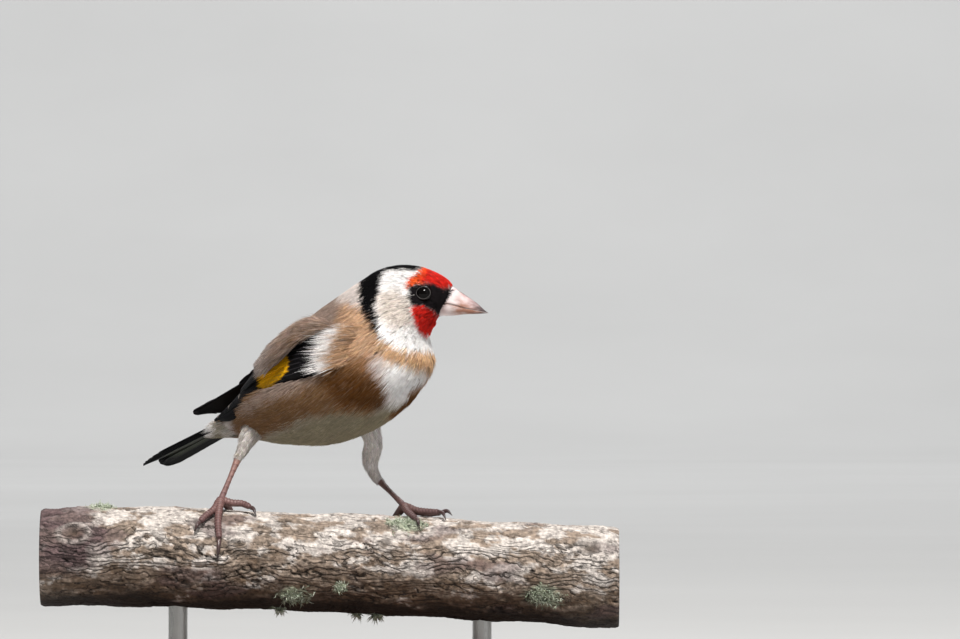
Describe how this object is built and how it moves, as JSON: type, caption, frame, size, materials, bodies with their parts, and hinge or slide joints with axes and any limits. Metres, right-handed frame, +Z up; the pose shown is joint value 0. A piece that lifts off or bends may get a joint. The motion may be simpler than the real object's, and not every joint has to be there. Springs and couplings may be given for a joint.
{
  "type": "european goldfinch model",
  "caption": "Still life-size goldfinch astride a short cut branch, held over a flat base on short rods; for display in natural history scenes.",
  "frame": {"origin": "middle of the underside of the stand's base", "axes": "+Z up; +X along the branch, towards the side that the bird's head faces; -Y is the side that its breast is turned to"},
  "size_m": [0.152, 0.08, 0.1127],
  "materials": {
    "plumage_body": "soft feathers, tawny brown with white, black and red markings on the head",
    "plumage_flight": "black flight and tail feathers with yellow and white marks, faint sheen",
    "bill_horn": "smooth ivory-pink horn, grey at the tip",
    "eye": "wet dark brown, almost black",
    "leg_skin": "scaled pinkish-brown skin",
    "claw_horn": "dark brown-grey horn",
    "bark": "weathered grey-brown bark with pale flakes and lichen",
    "stand_wood": "dark stained wood, satin",
    "stand_metal": "plain satin rod"
  },
  "bodies": {
    "root": {"torso": "plumage_body", "neck": "plumage_body", "head": "plumage_body", "thigh_right": "plumage_body", "thigh_left": "plumage_body", "wing_right": "plumage_flight", "wing_left": "plumage_flight", "tail": "plumage_flight", "bill_upper": "bill_horn", "bill_lower": "bill_horn", "eye_right": "eye", "eye_left": "eye", "tarsus_right": "leg_skin", "tarsus_left": "leg_skin", "foot_right": "leg_skin", "foot_left": "leg_skin", "claw_right_outer": "claw_horn", "claw_right_middle": "claw_horn", "claw_right_inner": "claw_horn", "claw_right_hind": "claw_horn", "claw_left_outer": "claw_horn", "claw_left_middle": "claw_horn", "claw_left_inner": "claw_horn", "claw_left_hind": "claw_horn", "perch": "bark", "stand_base": "stand_wood", "stand_rod_left": "stand_metal", "stand_rod_right": "stand_metal"}
  },
  "joints": []
}
